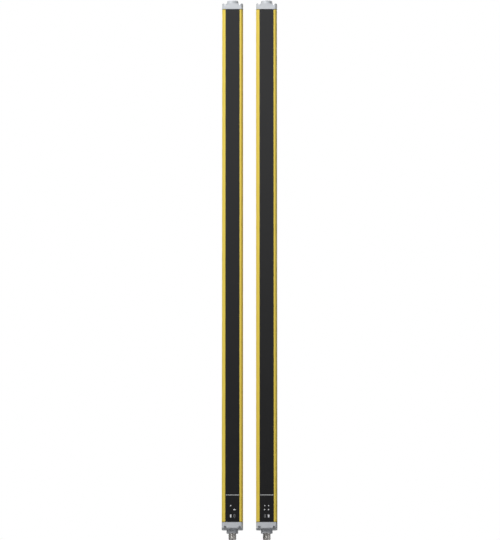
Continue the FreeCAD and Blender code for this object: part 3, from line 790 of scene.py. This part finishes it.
@built_once
def threaded_sleeve_tree():
    """A rolled thread round a turned sleeve: a sheet wrapped into a tube, its radius following
    the helix, with the thread fading out at both ends. The sleeve's own mesh closes the tube."""
    inputs = {
        "Geometry": ("Geometry",),
        "Material": ("Material",),
        "Segments": ("Int", 72),
        "Rows": ("Int", 100),
        "Radius": ("Float", 6.0 * MM),
        "Depth": ("Float", 0.6 * MM),
        "Pitch": ("Float", 1.0 * MM),
        "Start": ("Float", 0.0),
        "End": ("Float", 9.0 * MM),
        "Centre": ("Vector",),
    }
    outputs = {"Geometry": ("Geometry",)}
    tree, given, result = new_group("threaded_sleeve", "GeometryNodeTree", inputs, outputs)
    length_along = reckon(tree, "SUBTRACT", given["End"], given["Start"])
    values = {
        "Size X": math.tau,
        "Size Y": length_along,
        "Vertices X": reckon(tree, "ADD", given["Segments"], 1.0),
        "Vertices Y": given["Rows"],
    }
    grid = made(tree, "GeometryNodeMeshGrid", values)
    sheet = parts_of(tree, made(tree, "GeometryNodeInputPosition"))
    angle, along = sheet["X"], sheet["Y"]
    half = reckon(tree, "DIVIDE", length_along, 2.0)
    height = reckon(tree, "ADD", reckon(tree, "ADD", along, half), given["Start"])
    turns = reckon(tree, "DIVIDE", angle, math.tau)
    phase = reckon(tree, "SUBTRACT", reckon(tree, "DIVIDE", height, given["Pitch"]), turns)
    wave = reckon(tree, "PINGPONG", phase, 0.5)
    flank_slope, root_flat = 2.9, 0.2  # in depths: rise over a pitch, and what the root takes off
    crest = reckon(tree, "MULTIPLY_ADD", wave, flank_slope, -root_flat, clamp=True)
    full_from = reckon(tree, "ADD", given["Start"], given["Pitch"])
    full_to = reckon(tree, "SUBTRACT", given["End"], given["Pitch"])
    in_fade = ramp(tree, height, given["Start"], full_from)
    out_fade = ramp(tree, height, full_to, given["End"], 1.0, 0.0)
    ridge = reckon(tree, "MULTIPLY", crest, reckon(tree, "MULTIPLY", in_fade, out_fade))
    root = reckon(tree, "SUBTRACT", given["Radius"], given["Depth"])
    radius = reckon(tree, "ADD", root, reckon(tree, "MULTIPLY", ridge, given["Depth"]))
    x = reckon(tree, "MULTIPLY", radius, reckon(tree, "COSINE", angle))
    y = reckon(tree, "MULTIPLY", radius, reckon(tree, "SINE", angle))
    values = {"Geometry": grid, "Position": vector_of(tree, X=x, Y=y, Z=height)}
    wrapped = made(tree, "GeometryNodeSetPosition", values)
    joined = node(tree, "GeometryNodeJoinGeometry", {"Geometry": wrapped})
    tree.links.new(given["Geometry"], joined.inputs["Geometry"])
    values = {"Geometry": joined.outputs["Geometry"], "Distance": 0.002 * MM}
    closed = made(tree, "GeometryNodeMergeByDistance", values)
    moved = made(tree, "GeometryNodeTransform", {"Geometry": closed, "Translation": given["Centre"]})
    finish_tree(tree, moved, given, result)
    return tree


# ---------- operators


class BuildOperator:
    """What the operators share: their menu options and the settings they read. They run in the
    order in which they are written."""

    bl_options = {"REGISTER", "UNDO"}

    @property
    def settings(self):
        return bpy.context.scene.light_curtain


class LIGHTCURTAIN_OT_housings(BuildOperator, bpy.types.Operator):
    """Powder-coated housings with rounded edges"""

    bl_idname = "light_curtain.housings"
    bl_label = "Housings"

    def execute(self, context):
        housing = self.settings.housing
        paint = yellow_powder_coat(housing.paint, housing.peel)
        for bar in BARS:
            source = f"{bar}_housing_profile"
            eased_double(f"{bar}_housing", source, paint, housing.edge, "yellow_paint")
        return {"FINISHED"}


class LIGHTCURTAIN_OT_windows(BuildOperator, bpy.types.Operator):
    """Smoked front windows with polished edges"""

    bl_idname = "light_curtain.windows"
    bl_label = "Windows"

    def execute(self, context):
        window = self.settings.window
        acrylic = smoked_acrylic(window.smoke)
        for bar in BARS:
            source = f"{bar}_front_window"
            eased_double(f"{bar}_window", source, acrylic, window.edge, "window_plastic")
        return {"FINISHED"}


class LIGHTCURTAIN_OT_caps(BuildOperator, bpy.types.Operator):
    """Die-cast end caps with rounded edges"""

    bl_idname = "light_curtain.caps"
    bl_label = "End caps"

    def execute(self, context):
        cap = self.settings.cap
        paint = satin_casting_paint(cap.paint)
        for bar in BARS:
            for end in ("bottom", "top"):
                source = f"{bar}_{end}_cap"
                eased_double(f"{bar}_{end}_casting", source, paint, cap.edge, "cap_grey")
        return {"FINISHED"}


class LIGHTCURTAIN_OT_screws(BuildOperator, bpy.types.Operator):
    """Cap screws, each with a six-lobed recess at its own angle"""

    bl_idname = "light_curtain.screws"
    bl_label = "Cap screws"

    def execute(self, context):
        screw = self.settings.screw
        steel = zinc_plated_steel()
        for bar in BARS:
            places = self.places(bar, screw)
            piece = placed_copies(f"{bar}_cap_screws", self.model(screw), places, steel, math.tau)
            settled(piece, "screw_steel")
        return {"FINISHED"}

    def model(self, screw):
        """One screw: its seat at height 0, its head above and its shank below."""
        head, top, bend = screw.head_radius, screw.head_height, 0.45 * MM
        shank, tip = screw.shank_radius, -screw.shank_length
        recess, floor, lobe = screw.recess_radius, top - screw.recess_depth, 0.16
        rings = [
            (0, tip),
            (shank * 0.75, tip),
            (shank, tip + shank / 2),
            (shank, 0.0),
            (head, 0.0),
            *rounded(head, top, bend),
            (recess * 1.22, top),
            (recess * 1.12, top - 0.06 * MM, 0.10),
            (recess, top - 0.25 * MM, lobe),
            (recess * 0.97, floor + 0.1 * MM, lobe),
            (recess * 0.6, floor, 0.05),
            (0, floor - 0.15 * MM),
        ]
        return crisp(mesh_of("cap_screw", lathed(rings, 48)))

    def places(self, bar, screw):
        """Four points on each cap's screw seats, and the way out of the cap."""
        places = []
        for end, up in (("bottom", 1), ("top", -1)):
            low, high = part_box(f"{bar}_{end}_cap")
            middle = (low + high) / 2
            outer = low.z if up > 0 else high.z
            seat = outer + up * (self.settings.cap.boss_height + screw.sunk)
            depth = (high.y - low.y) / 2 - screw.inset
            for side in (-1, 1):
                for facing in (-1, 1):
                    point = (middle.x + side * screw.across, middle.y + facing * depth, seat)
                    places.append((point, (0.0, 0.0, -up)))
        return places


class LIGHTCURTAIN_OT_plugs(BuildOperator, bpy.types.Operator):
    """Threaded plugs with their contact carriers and contacts"""

    bl_idname = "light_curtain.plugs"
    bl_label = "Plugs"

    def execute(self, context):
        plug = self.settings.plug
        for bar in BARS:
            low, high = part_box(f"{bar}_plug_sleeve")
            carrier_low, carrier_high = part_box(f"{bar}_plug_insert")
            centre = Vector(((low.x + high.x) / 2, (low.y + high.y) / 2, low.z))
            bore = (carrier_high.x - carrier_low.x) / 2
            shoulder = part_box(f"{bar}_bottom_cap")[0].z - low.z
            self.sleeve(bar, plug, centre, (high.x - low.x) / 2, bore, (shoulder, high.z - low.z))
            heights = (carrier_low.z - low.z, carrier_high.z - low.z)
            self.carrier(bar, plug, centre, bore, heights)
            self.contacts(bar, plug, centre, heights[0])
        return {"FINISHED"}

    def sleeve(self, bar, plug, centre, radius, bore, heights):
        """The turned sleeve: its tip, bore and upper end are lathed, its thread is wrapped on."""
        shoulder, top = heights
        root = radius - plug.thread_depth
        collar = radius - 0.15 * MM
        seat = shoulder - 0.02 * MM  # just clear of the boss
        chamfer, tip_chamfer, bore_chamfer = 0.35 * MM, 0.25 * MM, 0.1 * MM
        rings = [
            (root, plug.thread_end),
            (collar, plug.thread_end + chamfer),
            (collar, seat),
            (plug.neck, seat),
            (plug.neck, top - chamfer),
            (plug.neck - chamfer, top),
            (bore + bore_chamfer, top),
            (bore, top - bore_chamfer),
            (bore, chamfer),
            (bore + chamfer, 0.0),
            (root - tip_chamfer, 0.0),
            (root, tip_chamfer),
            (root, plug.lead_in),
        ]
        mesh = mesh_of(f"{bar}_plug", lathed(rings, plug.segments))
        values = {
            "Material": nickel_plate(plug.plate),
            "Segments": plug.segments,
            "Rows": plug.rows,
            "Radius": radius,
            "Depth": plug.thread_depth,
            "Pitch": plug.pitch,
            "Start": plug.lead_in,
            "End": plug.thread_end,
            "Centre": centre,
        }
        piece = grown(new_piece(f"{bar}_plug", mesh), threaded_sleeve_tree(), values)
        outwards(piece.data)
        crisp(piece.data)
        settled(piece, "plated_brass", f"{bar}_plug_sleeve")

    def carrier(self, bar, plug, centre, bore, heights):
        """The moulded disc with a raised rim and the coding key."""
        face, top = heights
        rim = bore - 0.9 * MM
        sunk = face + 0.3 * MM
        rings = [
            (0, sunk),
            (rim - 0.2 * MM, sunk),
            (rim, face + 0.1 * MM),
            (rim, face),
            (bore, face),
            (bore, top),
            (0, top),
        ]
        bm = lathed(rings, plug.segments)
        key = plug.key_width / 2
        slab(bm, (-key, bore - plug.key_depth, plug.key_start), (key, bore, face + 0.5 * MM))
        bmesh.ops.translate(bm, verts=bm.verts, vec=centre)
        name, source = f"{bar}_contact_carrier", f"{bar}_plug_insert"
        closed_piece(name, bm, black_moulding(), "insert_plastic", source)

    def contacts(self, bar, plug, centre, face):
        """Five round contacts with turned tips."""
        low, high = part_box(f"{bar}_plug_contacts")
        back = high.z - centre.z - face
        stand = face - (low.z - centre.z)
        radius = plug.contact_radius
        rings = [
            (0, back),
            (radius, back),
            (radius, 0.0),
            (radius, radius - stand),
            (radius * 0.86, radius * 0.42 - stand),
            (radius * 0.45, radius * 0.08 - stand),
            (0, -stand),
        ]
        mesh = mesh_of("contact", lathed(rings, 24))
        outwards(mesh)
        up = (0.0, 0.0, 1.0)
        z = centre.z + face
        places = [((centre.x, centre.y, z), up)]
        for i in range(4):
            angle = math.pi / 2 * (i + 0.5)
            x = centre.x + plug.contact_circle * math.cos(angle)
            y = centre.y + plug.contact_circle * math.sin(angle)
            places.append(((x, y, z), up))
        piece = placed_copies(f"{bar}_contacts", crisp(mesh), places, gold_flash())
        settled(piece, "contact_gold", f"{bar}_plug_contacts")


class LIGHTCURTAIN_OT_fields(BuildOperator, bpy.types.Operator):
    """Printed line and indicator marks at the lower end of each window"""

    bl_idname = "light_curtain.fields"
    bl_label = "Indicator fields"

    # Places are (across from the window's middle, up from its lower end), in millimetres.
    filled = {"emitter": (-2.6, 8.7), "receiver": (2.7, 8.7)}
    outlined = {"emitter": (2.9, 8.7), "receiver": (-2.8, 8.7)}
    # Lamps are (place, half length, radius of the ends).
    lamps = {
        "emitter": [((-2.6, 24.6), 0.9, 0.9), ((2.9, 18.5), 1.75, 0.75)],
        "receiver": [((x, z), 0.9, 0.9) for z in (24.6, 18.5) for x in (-3.2, 2.8)],
    }

    def execute(self, context):
        field = self.settings.field
        margin = 0.4 * MM
        for bar in BARS:
            low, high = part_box(f"{bar}_front_window")
            origin = Vector(((low.x + high.x) / 2, low.y, low.z))
            self.line(bar, field, origin, (high.x - low.x) / 2 - margin)
            self.marks(bar, field, origin)
            self.indicator_lamps(bar, field, origin)
        return {"FINISHED"}

    def line(self, bar, field, origin, half_width):
        half = field.line / 2
        low = origin + Vector((-half_width, -field.ink, field.height - half))
        high = origin + Vector((half_width, 0.0, field.height + half))
        bm = bmesh.new()
        slab(bm, low, high)
        ink = screen_ink("line_ink", field.rule)
        closed_piece(f"{bar}_printed_line", bm, ink, "window_plastic")

    def marks(self, bar, field, origin):
        bm = bmesh.new()
        slab(bm, *self.corners(field, origin, *self.filled[bar]))
        ink = screen_ink("pale_ink", field.pale)
        closed_piece(f"{bar}_filled_mark", bm, ink, "window_plastic")
        bm = bmesh.new()
        open_slab(bm, *self.corners(field, origin, *self.outlined[bar]), field.stroke)
        ink = screen_ink("dim_ink", field.dim)
        closed_piece(f"{bar}_open_mark", bm, ink, "window_plastic")

    def corners(self, field, origin, x, z):
        """The lower left and the upper right corner of a mark, the ink's thickness apart."""
        middle = origin + Vector((x * MM, 0.0, z * MM))
        half = Vector((field.mark_width / 2, 0.0, field.mark_height / 2))
        return middle - half - Vector((0.0, field.ink, 0.0)), middle + half

    def indicator_lamps(self, bar, field, origin):
        for number, ((x, z), wide, tall) in enumerate(self.lamps[bar], start=1):
            bm = lathed([(0, 0.0), (1.0, 0.0), (0.96, 1.0), (0, 1.0)], LAMP_SIDES)
            for vertex in bm.verts:
                if vertex.co.xy.length > SAME_POINT:
                    vertex.co.x += math.copysign(wide / tall - 1, vertex.co.x)
            shape = Matrix.Diagonal((tall * MM, tall * MM, field.ink, 1.0))
            upright = Matrix.Rotation(math.pi / 2, 4, "X")
            place = Matrix.Translation(origin + Vector((x * MM, 0.0, z * MM)))
            bmesh.ops.transform(bm, matrix=place @ upright @ shape, verts=bm.verts)
            ink = screen_ink("pale_ink", field.pale)
            closed_piece(f"{bar}_lamp_{number}", bm, ink, "guide_plastic")


class LIGHTCURTAIN_OT_inner_parts(BuildOperator, bpy.types.Operator):
    """Finishes of the seals, the carrier and everything on it"""

    bl_idname = "light_curtain.inner_parts"
    bl_label = "Inner parts"

    def execute(self, context):
        lens = self.settings.lens
        for bar in BARS:
            low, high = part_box(f"{bar}_housing_profile")
            middle = abs((low + high).x) / 2
            first_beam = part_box(f"{bar}_lens_strip_1")[0].z + lens.first
            finishes = {
                "window_seal": foam_tape(),
                "top_gasket": black_rubber(),
                "bottom_gasket": black_rubber(),
                "carrier_pads": black_rubber(),
                "optics_carrier": black_moulding(),
                "optic_block": matt_shaft_moulding(),
                "lens_strip": stepped_lens(middle, first_beam, lens.pitch, lens.half_field),
                "diode_boards": circuit_board(),
                "control_board": circuit_board(),
                "diodes": package_epoxy(),
                "control_chips": package_epoxy(),
                "light_guide": clear_guide(),
                "lead_ribbon": amber_film(),
            }
            for part, material in finishes.items():
                for name, cad_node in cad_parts.items():
                    if name.startswith(f"{bar}_{part}"):
                        cad_node.data.materials.clear()
                        cad_node.data.materials.append(material)
        return {"FINISHED"}


class LIGHTCURTAIN_OT_stage(BuildOperator, bpy.types.Operator):
    """Camera, pale floor, soft lights and surroundings"""

    bl_idname = "light_curtain.stage"
    bl_label = "Stage"

    camera_place = (0.00065, -8.418, -1.323)
    camera_aim = (0.00065, -0.018, -0.0048)
    floor_reach = 40.0
    # Lights are (name, place, width and height, the setting that holds their power).
    lights = (
        ("key", (-0.95, -1.85, 1.10), (1.0, 1.5), "key"),
        ("left_rear", (-1.7, 2.5, 1.2), (1.4, 2.0), "rear"),
        ("right_rear", (1.7, 2.5, 1.2), (1.4, 2.0), "rear"),
    )

    def execute(self, context):
        stage = self.settings.stage
        context.scene.view_settings.view_transform = "Standard"
        self.camera(context, stage)
        self.floor(stage)
        for name, place, size, power in self.lights:
            self.light(name, place, size, getattr(stage, power))
        self.surroundings(context, stage)
        return {"FINISHED"}

    def camera(self, context, stage):
        data = bpy.data.cameras.new("camera")
        data.lens = stage.lens
        data.sensor_width = 36.0
        data.clip_end = 100.0
        camera = bpy.data.objects.new("camera", data)
        context.scene.collection.objects.link(camera)
        camera.location = self.camera_place
        aim = Vector(self.camera_aim) - camera.location
        camera.rotation_euler = aim.to_track_quat("-Z", "Y").to_euler()
        context.scene.camera = camera

    def light(self, name, place, size, power):
        """A soft rectangular light that points at the object."""
        data = bpy.data.lights.new(name, "AREA")
        data.shape = "RECTANGLE"
        data.size, data.size_y = size
        data.energy = power
        light = bpy.data.objects.new(name, data)
        bpy.context.scene.collection.objects.link(light)
        light.location = place
        light.rotation_euler = (-Vector(place)).to_track_quat("-Z", "Y").to_euler()

    def floor(self, stage):
        level_z = cad_box[0][2] - stage.floor_drop
        bm = bmesh.new()
        bmesh.ops.create_grid(bm, x_segments=8, y_segments=8, size=self.floor_reach)
        bmesh.ops.translate(bm, verts=bm.verts, vec=(0.0, 0.0, level_z))
        new_piece("floor", mesh_of("floor", bm), self.floor_paint())

    def floor_paint(self):
        """Pale matt floor that fades to the white background away from the object, and is
        clear from below."""
        material, tree, shader = new_material("floor_paint", IOR=1.45)
        grain = dict(roughness=0.8, size=4.0, relief=0.05, spread=0.02, patch=900.0)
        grained(tree, shader, (0.80, 0.80, 0.80), **grain)
        flat = stretched(tree, object_place(tree), (1.0, 1.0, 0.0))
        away = node(tree, "ShaderNodeVectorMath", {0: flat}, operation="LENGTH").outputs["Value"]
        camera_ray = node(tree, "ShaderNodeLightPath").outputs["Is Camera Ray"]
        fade = reckon(tree, "MULTIPLY", ramp(tree, away, start=0.4, end=1.6), camera_ray)
        white = made(tree, "ShaderNodeEmission", {"Color": opaque((1.0, 1.0, 1.0)), "Strength": 1.0})
        values = {0: fade, 1: shader.outputs["BSDF"], 2: white}
        paint = made(tree, "ShaderNodeMixShader", values)
        under = node(tree, "ShaderNodeNewGeometry").outputs["Backfacing"]
        clear = made(tree, "ShaderNodeBsdfTransparent")
        seen = made(tree, "ShaderNodeMixShader", {0: under, 1: paint, 2: clear})
        out = next(n for n in tree.nodes if n.bl_idname == "ShaderNodeOutputMaterial")
        tree.links.new(seen, out.inputs["Surface"])
        return material

    def surroundings(self, context, stage):
        """White to the camera, soft all-round light, and for reflections a studio that is
        bright high in front and to either side, and dark at eye level and behind."""
        world = bpy.data.worlds.new("studio")
        context.scene.world = world
        world.use_nodes = True
        tree = world.node_tree
        tree.nodes.clear()
        # Each ramp runs over the X, Y or Z of the ray's direction, a vector of length 1.
        direction = node(tree, "ShaderNodeTexCoord").outputs["Generated"]
        parts = parts_of(tree, direction)
        front = ramp(tree, parts["Y"], start=0.5, end=-0.1, low=0.06, high=1.0)
        above = ramp(tree, parts["Z"], start=0.10, end=0.23, low=0.12, high=1.0)
        high = ramp(tree, parts["Z"], start=0.27, end=0.45, low=0.0, high=stage.sheen)
        left = ramp(tree, parts["X"], start=-0.40, end=-0.60, low=0.0, high=1.0)
        right = ramp(tree, parts["X"], start=0.35, end=0.55, low=0.0, high=2.0)
        overhead = reckon(tree, "ADD", above, high)
        brightest = reckon(tree, "MAXIMUM", overhead, reckon(tree, "ADD", left, right))
        mirrored = reckon(tree, "MULTIPLY", brightest, front)
        from_above = ramp(tree, parts["Z"], start=-1.0, end=1.0, low=0.75, high=1.25)
        ambient = reckon(tree, "MULTIPLY", from_above, stage.ambient)
        rays = node(tree, "ShaderNodeLightPath").outputs
        shiny = reckon(tree, "MAXIMUM", rays["Is Glossy Ray"], rays["Is Transmission Ray"])
        lit = blended(tree, shiny, ambient, mirrored, "FLOAT")
        seen = blended(tree, rays["Is Camera Ray"], lit, 1.0, "FLOAT")
        white = opaque((1.0, 1.0, 1.0))
        background = made(tree, "ShaderNodeBackground", {"Color": white, "Strength": seen})
        node(tree, "ShaderNodeOutputWorld", {"Surface": background})


class LIGHTCURTAIN_PT_build(bpy.types.Panel):
    """Lists the operators in the order in which they run"""

    bl_label = "Light Curtain"
    bl_space_type = "VIEW_3D"
    bl_region_type = "UI"
    bl_category = "Light Curtain"

    def draw(self, context):
        for operator in OPERATORS:
            self.layout.operator(operator.bl_idname)


OPERATORS = BuildOperator.__subclasses__()
CLASSES = (*SettingsGroup.__subclasses__(), *OPERATORS, LIGHTCURTAIN_PT_build)


def register():
    for cls in CLASSES:
        bpy.utils.register_class(cls)
    bpy.types.Scene.light_curtain = PointerProperty(type=LightCurtainSettings)


def unregister():
    del bpy.types.Scene.light_curtain
    for cls in reversed(CLASSES):
        bpy.utils.unregister_class(cls)


def main():
    register()
    for operator in OPERATORS:
        category, name = operator.bl_idname.split(".")
        getattr(getattr(bpy.ops, category), name)()


if __name__ == "__main__":
    main()
